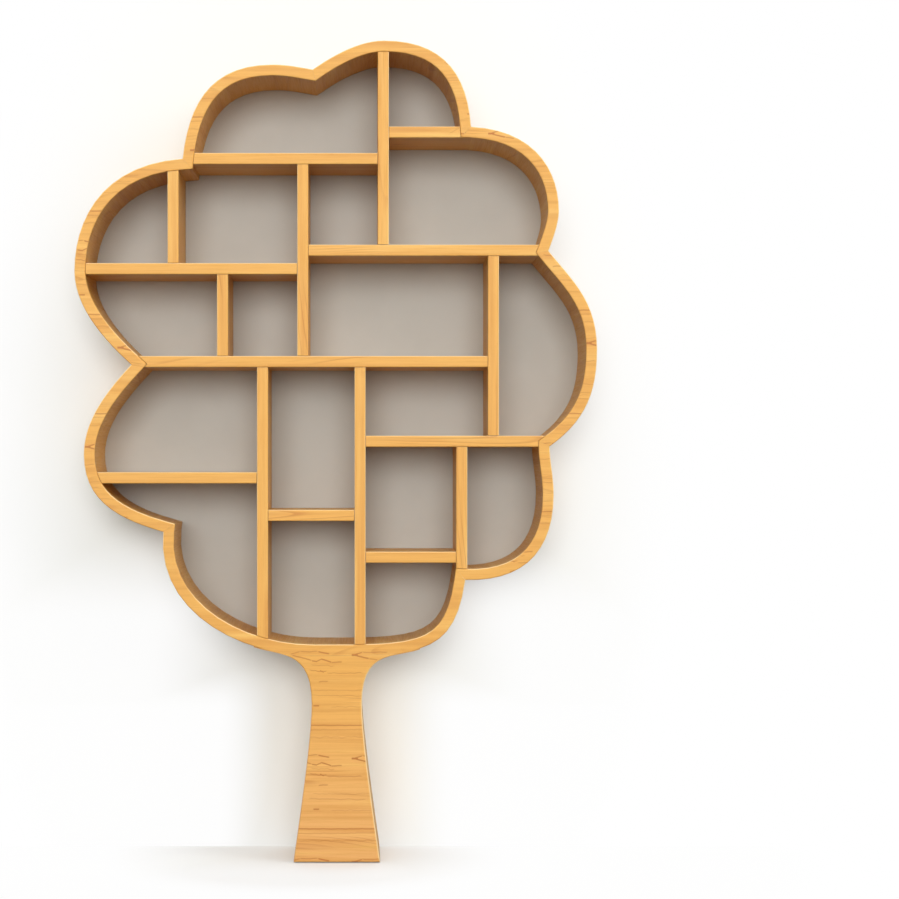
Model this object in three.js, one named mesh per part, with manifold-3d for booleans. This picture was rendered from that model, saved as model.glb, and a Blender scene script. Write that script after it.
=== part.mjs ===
// A tree shaped bookshelf: a crown of eight round lobes, fitted out with shelves and dividers, on a hollow
// flared trunk. Millimetres, +Z up. The front looks along -Y and the flat back goes to the wall on +Y. The
// origin lies on the floor, under the middle of the crown.
import * as THREE from "three";
import { mergeVertices } from "three/addons/utils/BufferGeometryUtils.js";
import Module from "manifold-3d";

const wasm = await Module();
wasm.setup();

// The whole. The crown's base is the height of its lowest point above the floor.
const crownWidth = 1413;
const crownHeight = 1662;
const crownBase = 560;
const caseDepth = 250;

// The boards. A housing is the groove that takes a board's end, and stops short of the front edge.
const frameThickness = 30;
const boardThickness = 30;
const housingDepth = 8;
const housingStop = 12;
const jointGap = 0.3;
const cutOverrun = 5;

// The mitres between the lobes, and the loose tongues in them.
const tongueWidth = 18;
const tongueThickness = 6;
const tonguePlaceShare = 0.65;
const mitreMiddleShare = 0.5;

// The back, let into the frame, and the bevelled rail behind it that hooks over a rail on the wall.
const backThickness = 6;
const rebateWidth = 10;
const railThickness = 12;
const railHeight = 70;
const railLength = 600;
const railLevelShare = 0.707;
const railScrewSpacing = 34;
const railScrewBite = 28;

// The trunk. It stands a little to the right of the crown's centre line.
const trunkAside = 3;
const flareWidth = 449;
const tipThickness = 2;
const waistWidth = 136;
const waistLevelShare = 0.767;
const footWidth = 234;
const trunkPanelThickness = 18;
const trunkSideThickness = 9;
const ribThickness = 18;
const ribLevelShares = [0.25, 0.5, 0.75];
const footPlateThickness = 25;
const saddleWidth = 210;
const saddleThickness = 32;
const crownScrewSpacing = 120;
const crownScrewBiteShare = 0.5;

// Screws and glides.
const shankDiameter = 6;
const headDiameter = 12;
const headHeight = 4;
const glideDiameter = 30;
const glideHeight = 2;
const glideMargin = 7;

// Facets: steps along each bend of an outline, and sides of the turned pieces. A place on a bend is looked
// for in finer steps.
const bendSteps = 13;
const seekSteps = 500;
const screwSides = 12;
const glideSides = 24;

// Bearings are degrees clockwise from straight up, as seen from the front.
const rightwards = 90;
const downwards = 180;
const leftwards = 270;
const upwards = 360;

// The crown's outline, clockwise from the notch at the upper left. A lobe starts at its notch, stands out
// furthest at its crest and ends at the next lobe's notch. Places are shares of the crown's width, from the
// centre line, and of its height. A reach is how far a bend runs on along its bearing, as a share of its chord.
const lobeShares = [
  {
    name: "lobe_top_left",
    notch: [-0.293, 0.808], leaves: 6, reachOut: [0.44, 0.46],
    crest: [-0.122, 0.961], along: rightwards, reachBack: [0.36, 0.36], arrives: 100,
  },
  {
    name: "lobe_top",
    notch: [-0.044, 0.953], leaves: 55, reachOut: [0.34, 0.31],
    crest: [0.092, 1], along: rightwards, reachBack: [0.47, 0.45], arrives: 176,
  },
  {
    name: "lobe_upper_right",
    notch: [0.259, 0.86], leaves: 93, reachOut: [0.53, 0.33],
    crest: [0.427, 0.723], along: downwards, reachBack: [0.29, 0.34], arrives: 201,
  },
  {
    name: "lobe_right",
    notch: [0.407, 0.658], leaves: 141, reachOut: [0.34, 0.44],
    crest: [0.5, 0.498], along: downwards, reachBack: [0.43, 0.39], arrives: 234,
  },
  {
    name: "lobe_lower_right",
    notch: [0.409, 0.34], leaves: 178, reachOut: [0.37, 0.38],
    crest: [0.417, 0.261], along: downwards, reachBack: [0.46, 0.47], arrives: 272,
  },
  {
    name: "lobe_bottom",
    notch: [0.248, 0.123], leaves: 188, reachOut: [0.46, 0.62],
    crest: [-0.041, 0], along: leftwards, reachBack: [0.41, 0.39], arrives: 366,
  },
  {
    name: "lobe_lower_left",
    notch: [-0.33, 0.201], leaves: 286, reachOut: [0.4, 0.43],
    crest: [-0.482, 0.327], along: upwards, reachBack: [0.33, 0.37], arrives: 403,
  },
  {
    name: "lobe_left",
    notch: [-0.391, 0.473], leaves: 312, reachOut: [0.34, 0.32],
    crest: [-0.5, 0.625], along: upwards, reachBack: [0.34, 0.51], arrives: 446,
  },
];

// A shelf lies at a level, a share of the crown's height. A divider stands at a place, a share of the crown's
// width from the centre line. Each runs from one stop to another: the frame, or the board it is housed in.
const frameStop = "frame";
const boardShares = {
  shelf_top_left: { levelShare: 0.808, from: frameStop, to: "divider_top" },
  shelf_top_right: { levelShare: 0.851, from: "divider_top", to: frameStop },
  shelf_upper_left: { levelShare: 0.629, from: frameStop, to: "divider_upper" },
  shelf_upper_right: { levelShare: 0.659, from: "divider_upper", to: frameStop },
  shelf_middle: { levelShare: 0.478, from: frameStop, to: "divider_right" },
  shelf_lower_right: { levelShare: 0.3485, from: "divider_lower_centre", to: frameStop },
  shelf_lower_left: { levelShare: 0.289, from: frameStop, to: "divider_lower_left" },
  shelf_lower_centre: { levelShare: 0.228, from: "divider_lower_left", to: "divider_lower_centre" },
  shelf_bottom_right: { levelShare: 0.16, from: "divider_lower_centre", to: "divider_lower_right" },
  divider_top: { placeShare: 0.091, from: "shelf_upper_right", to: frameStop },
  divider_upper_left: { placeShare: -0.311, from: "shelf_upper_left", to: frameStop },
  divider_upper: { placeShare: -0.063, from: "shelf_middle", to: "shelf_top_left" },
  divider_left: { placeShare: -0.2165, from: "shelf_middle", to: "shelf_upper_left" },
  divider_right: { placeShare: 0.3015, from: "shelf_lower_right", to: "shelf_upper_right" },
  divider_lower_left: { placeShare: -0.14, from: frameStop, to: "shelf_middle" },
  divider_lower_centre: { placeShare: 0.0465, from: frameStop, to: "shelf_middle" },
  divider_lower_right: { placeShare: 0.241, from: frameStop, to: "shelf_lower_right" },
};
const boardNames = Object.keys(boardShares);
const bottomLobe = lobeShares.findIndex((lobe) => lobe.name === "lobe_bottom");

// The trunk's side. It leaves its tip at a small angle below the crown's underside, comes straight down to the
// waist, from a share of the rise between the waist and the crown's base, and bends out to the foot.
const trunkSideShares = {
  tipAngle: 1.4, tipReach: 0.35, waistRiseShare: 1.13,
  waistBearing: downwards, reachOut: [0.25, 0.06],
  footBearing: 175.1,
};

// Depths, from the front edge to the wall: the boards, the sheets of the back, then the hanging rail.
const frontPlane = -caseDepth / 2;
const wallPlane = caseDepth / 2;
const railFront = wallPlane - railThickness;
const sheetRear = railFront - jointGap;
const sheetFront = sheetRear - backThickness;
const boardRear = sheetFront - jointGap;
const farOut = crownBase + crownHeight + crownWidth;

// The trunk's hollow lies between its two panels.
const hollowFront = frontPlane + trunkPanelThickness + jointGap;
const hollowBack = wallPlane - trunkPanelThickness - jointGap;

const finishes = {
  veneer: { color: 0xf0b369, roughness: 0.45, metalness: 0 },
  plywood: { color: 0xdcb47c, roughness: 0.7, metalness: 0 },
  paint: { color: 0xc9bfb2, roughness: 0.85, metalness: 0 },
  steel: { color: 0xb9bcc0, roughness: 0.35, metalness: 1 },
  plastic: { color: 0x3a342e, roughness: 0.6, metalness: 0 },
};

const acrossAxis = new THREE.Vector3(1, 0, 0);
const backAxis = new THREE.Vector3(0, 1, 0);
const upAxis = new THREE.Vector3(0, 0, 1);

// Joins the doubled corners of a closed geometry and makes a solid of it that can be cut.
function solid(geometry) {
  geometry.deleteAttribute("normal");
  geometry.deleteAttribute("uv");
  const closed = mergeVertices(geometry);
  return new wasm.Manifold(new wasm.Mesh({
    numProp: 3,
    vertProperties: closed.getAttribute("position").array,
    triVerts: Uint32Array.from(closed.getIndex().array),
  }));
}

// A named piece of the bookshelf, made of one geometry, turned and standing at a place.
function piece(name, finish, geometry, place = new THREE.Vector3(), turn = new THREE.Euler()) {
  geometry.computeVertexNormals();
  const mesh = new THREE.Mesh(geometry, new THREE.MeshStandardMaterial(finishes[finish]));
  mesh.name = name;
  mesh.position.copy(place);
  mesh.rotation.copy(turn);
  return mesh;
}

// A piece made of a cut solid. Its own origin is the middle of its front view, halfway through the case.
function cutPiece(name, finish, body) {
  const mesh = body.getMesh();
  const geometry = new THREE.BufferGeometry();
  geometry.setAttribute("position", new THREE.BufferAttribute(mesh.vertProperties, 3));
  geometry.setIndex(new THREE.BufferAttribute(mesh.triVerts, 1));
  geometry.computeBoundingBox();
  const place = geometry.boundingBox.getCenter(new THREE.Vector3()).setY(0);
  return piece(name, finish, geometry.translate(-place.x, -place.y, -place.z), place);
}

function groupOf(pieces) {
  const group = new THREE.Group();
  group.add(...pieces);
  return group;
}

// The solid whose front view is a closed run of points, between two depths.
function prism(points, front, back) {
  const geometry = new THREE.ExtrudeGeometry(new THREE.Shape(points), {
    depth: back - front,
    bevelEnabled: false,
  });
  const upright = new THREE.Matrix4().makeBasis(acrossAxis, upAxis, backAxis.clone().negate());
  return solid(geometry.applyMatrix4(upright).translate(0, back, 0));
}

function rectangle(left, right, bottom, top) {
  return [
    new THREE.Vector2(left, bottom),
    new THREE.Vector2(right, bottom),
    new THREE.Vector2(right, top),
    new THREE.Vector2(left, top),
  ];
}

// The direction of a bearing in the front view.
function direction(bearing) {
  const angle = THREE.MathUtils.degToRad(bearing);
  return new THREE.Vector2(Math.sin(angle), Math.cos(angle));
}

// The bearing of a direction in the front view.
function bearingOf(along) {
  return THREE.MathUtils.radToDeg(Math.atan2(along.x, along.y));
}

// The direction to the right of another one. Along an outline that runs clockwise it points inwards.
function toTheRight(along) {
  return new THREE.Vector2(along.y, -along.x);
}

// A smooth bend from one point to another that leaves and arrives along two bearings.
function bend(start, startBearing, startReach, end, endBearing, endReach) {
  const chord = start.distanceTo(end);
  const first = start.clone().addScaledVector(direction(startBearing), startReach * chord);
  const second = end.clone().addScaledVector(direction(endBearing), -endReach * chord);
  return new THREE.CubicBezierCurve(start, first, second, end);
}

// Points along a run of bends, all moved to their right by an inset.
function insetPoints(bends, inset) {
  const points = [];
  bends.forEach((curve, index) => {
    for (let step = Math.min(index, 1); step <= bendSteps; step += 1) {
      const share = step / bendSteps;
      const inwards = toTheRight(curve.getTangent(share));
      points.push(curve.getPoint(share).addScaledVector(inwards, inset));
    }
  });
  return points;
}

// The crown's outline.

function crownPoint([across, up]) {
  return new THREE.Vector2(across * crownWidth, crownBase + up * crownHeight);
}

function lobeAt(index) {
  return lobeShares[(index + lobeShares.length) % lobeShares.length];
}

function lobeBends(index) {
  const lobe = lobeAt(index);
  const notch = crownPoint(lobe.notch);
  const crest = crownPoint(lobe.crest);
  const nextNotch = crownPoint(lobeAt(index + 1).notch);
  return [
    bend(notch, lobe.leaves, lobe.reachOut[0], crest, lobe.along, lobe.reachOut[1]),
    bend(crest, lobe.along, lobe.reachBack[0], nextNotch, lobe.arrives, lobe.reachBack[1]),
  ];
}

// The notch before a lobe, where it meets the lobe before it when both are moved inwards by an inset.
function notchPoint(index, inset) {
  const before = toTheRight(direction(lobeAt(index - 1).arrives));
  const after = toTheRight(direction(lobeAt(index).leaves));
  const run = inset / (1 + before.dot(after));
  return crownPoint(lobeAt(index).notch).addScaledVector(before.add(after), run);
}

// The whole outline, moved inwards by an inset.
function crownOutline(inset) {
  return lobeShares.flatMap((lobe, index) => [
    notchPoint(index, inset),
    ...insetPoints(lobeBends(index), inset),
  ]);
}

function roomInside(inset, front, back) {
  return prism(crownOutline(inset), front, back);
}

// Shelves and dividers.

function isShelf(name) {
  return "levelShare" in boardShares[name];
}

// The height of a shelf's middle, or a divider's distance from the centre line.
function middleOf(name) {
  const board = boardShares[name];
  return isShelf(name) ? crownBase + board.levelShare * crownHeight : board.placeShare * crownWidth;
}

// Where a board ends, at its low or left side (-1) or at its high or right side (1): at the face of the board
// that stops it, or beyond the frame, whose inside then gives it its length.
function endOf(stop, side) {
  return stop === frameStop ? side * farOut : middleOf(stop) - side * boardThickness / 2;
}

// A board's front view, lengthened by ahead at its ends and widened by aside at its faces.
function boardRectangle(name, ahead, aside) {
  const { from, to } = boardShares[name];
  const start = endOf(from, -1) - ahead;
  const end = endOf(to, 1) + ahead;
  const low = middleOf(name) - boardThickness / 2 - aside;
  const high = middleOf(name) + boardThickness / 2 + aside;
  return isShelf(name) ? rectangle(start, end, low, high) : rectangle(low, high, start, end);
}

const boardRoom = roomInside(frameThickness + jointGap, frontPlane - cutOverrun, wallPlane);
const tongueRoom = roomInside(frameThickness - housingDepth + jointGap, frontPlane, wallPlane);
const housingRoom = roomInside(frameThickness - housingDepth, frontPlane, wallPlane + cutOverrun);

// The housing that a board's ends go into, cut from the frame and from the boards that stop it.
function housing(name) {
  const front = frontPlane + housingStop;
  return prism(boardRectangle(name, housingDepth, jointGap), front, wallPlane).intersect(housingRoom);
}

const housings = Object.fromEntries(boardNames.map((name) => [name, housing(name)]));

function union(bodies) {
  return bodies.reduce((whole, body) => whole.add(body));
}

function boardsStoppedBy(stop) {
  return boardNames.filter((name) => boardShares[name].from === stop || boardShares[name].to === stop);
}

function boardBody(name) {
  const tongueFront = frontPlane + housingStop + jointGap;
  const front = prism(boardRectangle(name, -jointGap, 0), frontPlane, boardRear).intersect(boardRoom);
  const tongues = prism(boardRectangle(name, housingDepth - jointGap, 0), tongueFront, boardRear)
    .intersect(tongueRoom)
    .subtract(mitreGrooves);
  return boardsStoppedBy(name).reduce((body, other) => body.subtract(housings[other]), front.add(tongues));
}

// The mitres between the lobes, each with a loose tongue.

// A box that stands on a mitre, at a share of the way from its inner edge to its outer one. Its height runs
// along the mitre and its width across it.
function mitreBox(index, share, size) {
  const inner = notchPoint(index, frameThickness);
  const middle = inner.clone().lerp(notchPoint(index, 0), share);
  const along = notchPoint(index, 0).sub(inner);
  return {
    geometry: new THREE.BoxGeometry(size.x, size.y, size.z),
    place: new THREE.Vector3(middle.x, (frontPlane + boardRear) / 2, middle.y),
    turn: new THREE.Euler(0, Math.atan2(along.x, along.y), 0),
  };
}

// A shape that is turned and put in its place, as a solid to cut with.
function cutter({ geometry, place, turn }) {
  const spot = new THREE.Matrix4().makeRotationFromEuler(turn).setPosition(place);
  return solid(geometry.applyMatrix4(spot));
}

function mitreGap(index) {
  const length = notchPoint(index, 0).distanceTo(notchPoint(index, frameThickness));
  const size = new THREE.Vector3(jointGap, 2 * caseDepth, length + 2 * cutOverrun);
  return cutter(mitreBox(index, mitreMiddleShare, size));
}

// The tongue, or with a gap all round it the groove that it lies in.
function tongueBox(index, gap) {
  const length = boardRear - frontPlane - 2 * housingStop;
  const size = new THREE.Vector3(tongueWidth, length, tongueThickness).addScalar(2 * gap);
  return mitreBox(index, tonguePlaceShare, size);
}

const mitreGrooves = union(lobeShares.map((lobe, index) => cutter(tongueBox(index, jointGap))));

// Screws. Each points along its own +Y before it is turned, with its head's seat at its own origin.

const upwardsTurn = new THREE.Euler(Math.PI / 2, 0, 0);
const forwardsTurn = new THREE.Euler(Math.PI, 0, 0);

function crownScrews() {
  const aside = crownScrewSpacing / 2;
  const seat = crownBase - saddleThickness - jointGap;
  const shankLength = saddleThickness + crownScrewBiteShare * frameThickness;
  const places = [[-aside, -aside], [aside, -aside], [-aside, aside], [aside, aside]];
  return places.map(([across, back], index) => ({
    name: `crown_screw_${index + 1}`,
    place: new THREE.Vector3(trunkAside + across, back, seat),
    turn: upwardsTurn,
    shankLength,
  }));
}

function railScrews() {
  const aside = railScrewSpacing / 2;
  const seat = wallPlane - headHeight - jointGap;
  const shankLength = seat - boardRear + railScrewBite;
  const level = railLevel();
  const across = [middleOf("divider_upper"), middleOf("divider_top")];
  const places = across.flatMap((place) => [[place, level - aside], [place, level + aside]]);
  return places.map(([place, height], index) => ({
    name: `rail_screw_${index + 1}`,
    place: new THREE.Vector3(place, seat, height),
    turn: forwardsTurn,
    shankLength,
  }));
}

function screwGeometry(shankLength) {
  const profile = [
    new THREE.Vector2(0, -headHeight),
    new THREE.Vector2(headDiameter / 2, -headHeight),
    new THREE.Vector2(headDiameter / 2, 0),
    new THREE.Vector2(shankDiameter / 2, 0),
    new THREE.Vector2(shankDiameter / 2, shankLength),
    new THREE.Vector2(0, shankLength),
  ];
  return new THREE.LatheGeometry(profile, screwSides);
}

function bore(diameter, start, end) {
  const radius = diameter / 2 + jointGap;
  const cylinder = new THREE.CylinderGeometry(radius, radius, end - start, screwSides);
  return cylinder.translate(0, (start + end) / 2, 0);
}

// The hole for a screw, with a wider mouth for its head.
function screwHole({ place, turn, shankLength }) {
  const mouth = bore(headDiameter, -headHeight - cutOverrun, jointGap);
  const shaft = bore(shankDiameter, -cutOverrun, shankLength + jointGap);
  return cutter({ geometry: mouth, place, turn }).add(cutter({ geometry: shaft, place, turn }));
}

function screwPiece({ name, place, turn, shankLength }) {
  return piece(name, "steel", screwGeometry(shankLength), place, turn);
}

// The frame: eight lobes, each a bent board that runs from one mitre to the next.

function lobeBand(index) {
  const bends = lobeBends(index);
  const band = [
    ...insetPoints(bends, 0),
    notchPoint(index + 1, frameThickness),
    ...insetPoints(bends, frameThickness).reverse(),
    notchPoint(index, frameThickness),
  ];
  return prism(band, frontPlane, wallPlane);
}

function framePieces() {
  const cuts = union([
    roomInside(frameThickness - rebateWidth, boardRear, wallPlane + cutOverrun),
    ...boardsStoppedBy(frameStop).map((name) => housings[name]),
    ...lobeShares.map((lobe, index) => mitreGap(index)),
    mitreGrooves,
    ...crownScrews().map(screwHole),
  ]);
  return lobeShares.map((lobe, index) => cutPiece(lobe.name, "veneer", lobeBand(index).subtract(cuts)));
}

function tonguePieces() {
  return lobeShares.map((lobe, index) => {
    const { geometry, place, turn } = tongueBox(index, 0);
    return piece(`mitre_tongue_${index + 1}`, "plywood", geometry, place, turn);
  });
}

// The back: two sheets that meet behind the middle of the boards, and the hanging rail.

function railLevel() {
  return crownBase + railLevelShare * crownHeight;
}

// The region of the lower sheet. Its upper edge steps down behind the shelves and the divider between them.
function lowerRegion(margin) {
  const shelfEdge = middleOf("shelf_middle") + margin;
  const dividerEdge = middleOf("divider_right") + margin;
  const rightEdge = middleOf("shelf_lower_right") + margin;
  const outline = [
    new THREE.Vector2(-farOut, -farOut),
    new THREE.Vector2(farOut, -farOut),
    new THREE.Vector2(farOut, rightEdge),
    new THREE.Vector2(dividerEdge, rightEdge),
    new THREE.Vector2(dividerEdge, shelfEdge),
    new THREE.Vector2(-farOut, shelfEdge),
  ];
  return prism(outline, frontPlane, wallPlane);
}

function backPieces() {
  const holes = union(railScrews().map(screwHole));
  const sheet = roomInside(frameThickness - rebateWidth + jointGap, sheetFront, sheetRear).subtract(holes);
  return [
    cutPiece("back_panel_upper", "paint", sheet.subtract(lowerRegion(jointGap / 2))),
    cutPiece("back_panel_lower", "paint", sheet.intersect(lowerRegion(-jointGap / 2))),
    cutPiece("hanging_rail", "plywood", railBody().subtract(holes)),
  ];
}

// The rail's lower edge is bevelled, so that it wedges behind the edge of a rail on the wall.
function railBody() {
  const bottom = railLevel() - railHeight / 2;
  const top = railLevel() + railHeight / 2;
  const profile = new THREE.Shape([
    new THREE.Vector2(railFront, bottom + railThickness),
    new THREE.Vector2(wallPlane, bottom),
    new THREE.Vector2(wallPlane, top),
    new THREE.Vector2(railFront, top),
  ]);
  const geometry = new THREE.ExtrudeGeometry(profile, { depth: railLength, bevelEnabled: false });
  const sideways = new THREE.Matrix4().makeBasis(backAxis, upAxis, acrossAxis);
  return solid(geometry.applyMatrix4(sideways).translate(-railLength / 2, 0, 0));
}

// Shelves and dividers, with pilot holes for the rail's screws.

function boardPieces() {
  const holes = union(railScrews().map(screwHole));
  return boardNames.map((name) => cutPiece(name, "veneer", boardBody(name).subtract(holes)));
}

// The trunk: a hollow box between two panels, with bent sides.

// Where the crown's underside is at a distance across, and its direction there from right to left.
function undersideAt(across) {
  const [rightBend, leftBend] = lobeBends(bottomLobe);
  const curve = across > leftBend.getPoint(0).x ? rightBend : leftBend;
  const shares = Array.from({ length: seekSteps }, (item, step) => step / seekSteps);
  const share = shares.find((candidate) => curve.getPoint(candidate).x <= across);
  return { height: curve.getPoint(share).y, along: curve.getTangent(share) };
}

// One side of the trunk from its tip down to its foot, moved inwards by an inset. The side is -1 or 1. The left
// side is laid out as a right one and then mirrored.
function trunkEdge(side, inset) {
  const { tipAngle, tipReach, waistRiseShare, waistBearing, reachOut, footBearing } = trunkSideShares;
  const { height, along } = undersideAt(trunkAside + side * flareWidth / 2);
  const tip = new THREE.Vector2(flareWidth / 2, height - tipThickness);
  const tipBearing = bearingOf(new THREE.Vector2(along.x, side * along.y)) - tipAngle;
  const waist = new THREE.Vector2(waistWidth / 2, waistLevelShare * crownBase);
  const foot = new THREE.Vector2(footWidth / 2, glideHeight);
  const waistReach = waistRiseShare * (crownBase - waist.y) / tip.distanceTo(waist);
  const bends = [
    bend(tip, tipBearing, tipReach, waist, waistBearing, waistReach),
    bend(waist, waistBearing, reachOut[0], foot, footBearing, reachOut[1]),
  ];
  return insetPoints(bends, inset).map((point) => new THREE.Vector2(trunkAside + side * point.x, point.y));
}

// The trunk's front view between two depths, its sides moved inwards by an inset, up into the crown's region.
function trunkPrism(inset, front, back) {
  const right = trunkEdge(1, inset);
  const left = trunkEdge(-1, inset);
  const rightTop = right[0].clone().setY(right[0].y + frameThickness);
  const leftTop = left[0].clone().setY(left[0].y + frameThickness);
  return prism([leftTop, rightTop, ...right, ...left.reverse()], front, back).subtract(crownRegion());
}

// All that lies within the bottom lobe, and a gap below it.
function crownRegion() {
  const underside = insetPoints(lobeBends(bottomLobe), -jointGap);
  return prism(underside, frontPlane - cutOverrun, wallPlane + cutOverrun);
}

// A level board inside the trunk, fitted between its sides and panels.
function innerBoard(bottom, thickness) {
  const slab = prism(rectangle(-farOut, farOut, bottom, bottom + thickness), hollowFront, hollowBack);
  return slab.intersect(trunkPrism(trunkSideThickness + jointGap, hollowFront, hollowBack));
}

function trunkSide(side) {
  const [left, right] = side < 0 ? [-farOut, trunkAside] : [trunkAside, farOut];
  return trunkPrism(0, hollowFront, hollowBack)
    .subtract(trunkPrism(trunkSideThickness, frontPlane, wallPlane))
    .intersect(prism(rectangle(left, right, 0, farOut), hollowFront, hollowBack));
}

// The block under the crown, shaped to the bottom lobe, that the crown is screwed down to.
function saddle() {
  const left = trunkAside - saddleWidth / 2;
  const block = rectangle(left, left + saddleWidth, crownBase - saddleThickness, farOut);
  return prism(block, hollowFront, hollowBack)
    .intersect(trunkPrism(trunkSideThickness + jointGap, hollowFront, hollowBack))
    .subtract(union(crownScrews().map(screwHole)));
}

function trunkPieces() {
  const ribs = ribLevelShares.map((share, index) => {
    const body = innerBoard(share * crownBase, ribThickness);
    return cutPiece(`trunk_rib_${index + 1}`, "plywood", body);
  });
  return [
    cutPiece("trunk_front", "veneer", trunkPrism(0, frontPlane, frontPlane + trunkPanelThickness)),
    cutPiece("trunk_back", "plywood", trunkPrism(0, wallPlane - trunkPanelThickness, wallPlane)),
    cutPiece("trunk_side_left", "veneer", trunkSide(-1)),
    cutPiece("trunk_side_right", "veneer", trunkSide(1)),
    cutPiece("trunk_saddle", "plywood", saddle()),
    cutPiece("trunk_foot_plate", "plywood", innerBoard(glideHeight, footPlateThickness)),
    ...ribs,
  ];
}

function glidePieces() {
  const radius = glideDiameter / 2;
  const across = footWidth / 2 - trunkSideThickness - glideMargin - radius;
  const back = hollowBack - glideMargin - radius;
  const places = [[-across, -back], [across, -back], [-across, back], [across, back]];
  return places.map(([x, y], index) => {
    const disc = new THREE.CylinderGeometry(radius, radius, glideHeight, glideSides);
    const place = new THREE.Vector3(trunkAside + x, y, glideHeight / 2);
    return piece(`foot_glide_${index + 1}`, "plastic", disc, place, upwardsTurn);
  });
}

const bookshelf = groupOf([
  groupOf([...framePieces(), ...tonguePieces()]),
  groupOf(boardPieces()),
  groupOf(backPieces()),
  groupOf([...trunkPieces(), ...glidePieces()]),
  groupOf([...crownScrews(), ...railScrews()].map(screwPiece)),
]);

export default bookshelf;
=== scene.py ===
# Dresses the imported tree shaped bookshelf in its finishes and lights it. Lengths are in metres.

import math

import bmesh
import bpy
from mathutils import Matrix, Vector
from mathutils.bvhtree import BVHTree


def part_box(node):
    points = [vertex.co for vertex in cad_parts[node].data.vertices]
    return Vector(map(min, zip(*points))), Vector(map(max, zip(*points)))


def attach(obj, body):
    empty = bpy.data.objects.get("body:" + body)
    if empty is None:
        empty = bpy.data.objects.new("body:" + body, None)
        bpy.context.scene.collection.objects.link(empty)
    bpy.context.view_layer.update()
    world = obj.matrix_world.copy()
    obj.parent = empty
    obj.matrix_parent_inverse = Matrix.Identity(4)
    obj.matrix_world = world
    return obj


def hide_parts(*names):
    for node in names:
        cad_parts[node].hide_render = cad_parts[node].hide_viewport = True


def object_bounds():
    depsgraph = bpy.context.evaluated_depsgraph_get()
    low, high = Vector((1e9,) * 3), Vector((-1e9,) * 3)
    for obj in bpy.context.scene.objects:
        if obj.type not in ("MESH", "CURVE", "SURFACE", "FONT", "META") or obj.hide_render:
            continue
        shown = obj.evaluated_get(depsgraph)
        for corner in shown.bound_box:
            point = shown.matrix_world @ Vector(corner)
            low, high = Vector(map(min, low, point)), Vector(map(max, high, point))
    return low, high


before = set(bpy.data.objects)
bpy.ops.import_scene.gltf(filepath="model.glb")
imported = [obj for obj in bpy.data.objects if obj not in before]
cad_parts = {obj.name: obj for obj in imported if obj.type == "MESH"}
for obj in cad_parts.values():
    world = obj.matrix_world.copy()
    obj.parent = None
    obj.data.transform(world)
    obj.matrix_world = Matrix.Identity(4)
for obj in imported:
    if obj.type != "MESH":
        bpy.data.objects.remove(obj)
cad_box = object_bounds()

MM = 0.001

# Node names, by the work that they do
LOBES = [f"lobe_{part}" for part in (
    "top_left", "top", "upper_right", "right", "lower_right", "bottom", "lower_left", "left")]
SHELVES = [f"shelf_{part}" for part in (
    "top_left", "top_right", "upper_left", "upper_right", "middle",
    "lower_right", "lower_left", "lower_centre", "bottom_right")]
DIVIDERS = [f"divider_{part}" for part in (
    "top", "upper_left", "upper", "left", "right", "lower_left", "lower_centre", "lower_right")]
TONGUES = [f"mitre_tongue_{number}" for number in range(1, 9)]
RAIL_SCREWS = [f"rail_screw_{number}" for number in range(1, 5)]
CROWN_SCREWS = [f"crown_screw_{number}" for number in range(1, 5)]
GLIDES = [f"foot_glide_{number}" for number in range(1, 5)]

# The camera stands level, straight in front, and sees the object off the picture's middle
camera_place = (0.0764, -5.870, 1.0873)
camera_lens = 85.2
camera_sensor = 36
camera_shift = (0.0951, 0.0122)

# Edges
front_plane = cad_box[0][1]
wall_plane = cad_box[1][1]
round_edge = 3.2 * MM
rear_edge_share = 0.25
hairline_share = 0.5
mitre_share = 0.0
thickness_share = 0.3
trunk_edge_share = 1.4
bevel_steps = 3
plane_slack = 0.1 * MM
weld_reach = 0.01 * MM
flat_limit = math.radians(0.5)
board_flat_limit = math.radians(1.5)
sharp_limit = math.radians(32)
probe_reach = 1.5 * MM
probe_start = 50 * MM
place_digits = 5
run_limit = 0.99


def linear(red, green, blue):
    """The shader's values of a colour that is given as it is seen, 0 to 255."""
    parts = []
    for seen in (red, green, blue):
        share = seen / 255
        parts.append(share / 12.92 if share <= 0.04045 else ((share + 0.055) / 1.055) ** 2.4)
    return (*parts, 1.0)


# Helpers that add shader nodes and return the socket that carries on

MIX_FACTOR, MIX_VECTOR_A, MIX_VECTOR_B, MIX_COLOUR_A, MIX_COLOUR_B = 0, 4, 5, 6, 7
MIX_VECTOR_OUT, MIX_COLOUR_OUT = 1, 2


def add(tree, kind, inputs=None, **settings):
    node = tree.nodes.new(kind)
    for name, value in settings.items():
        setattr(node, name, value)
    for socket, value in (inputs or {}).items():
        if isinstance(value, bpy.types.NodeSocket):
            tree.links.new(value, node.inputs[socket])
        else:
            node.inputs[socket].default_value = value
    return node


def maths(tree, operation, *values):
    inputs = dict(enumerate(values))
    return add(tree, "ShaderNodeMath", inputs, operation=operation).outputs[0]


def ramp(tree, value, low, high, start=0.0, end=1.0):
    """Turns a value's run from low to high into a smooth run from start to end."""
    inputs = {"Value": value, "From Min": low, "From Max": high, "To Min": start, "To Max": end}
    return add(tree, "ShaderNodeMapRange", inputs, interpolation_type="SMOOTHSTEP").outputs[0]


def scaled(tree, place, scale):
    return add(tree, "ShaderNodeVectorMath", {0: place, 1: scale}, operation="MULTIPLY").outputs[0]


def noise(tree, place, scale, detail=2.0, roughness=0.5):
    """Noise over a place, with its own number of features to the metre along each axis."""
    inputs = {"Vector": scaled(tree, place, scale), "Scale": 1.0, "Detail": detail, "Roughness": roughness}
    return add(tree, "ShaderNodeTexNoise", inputs).outputs[0]


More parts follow.
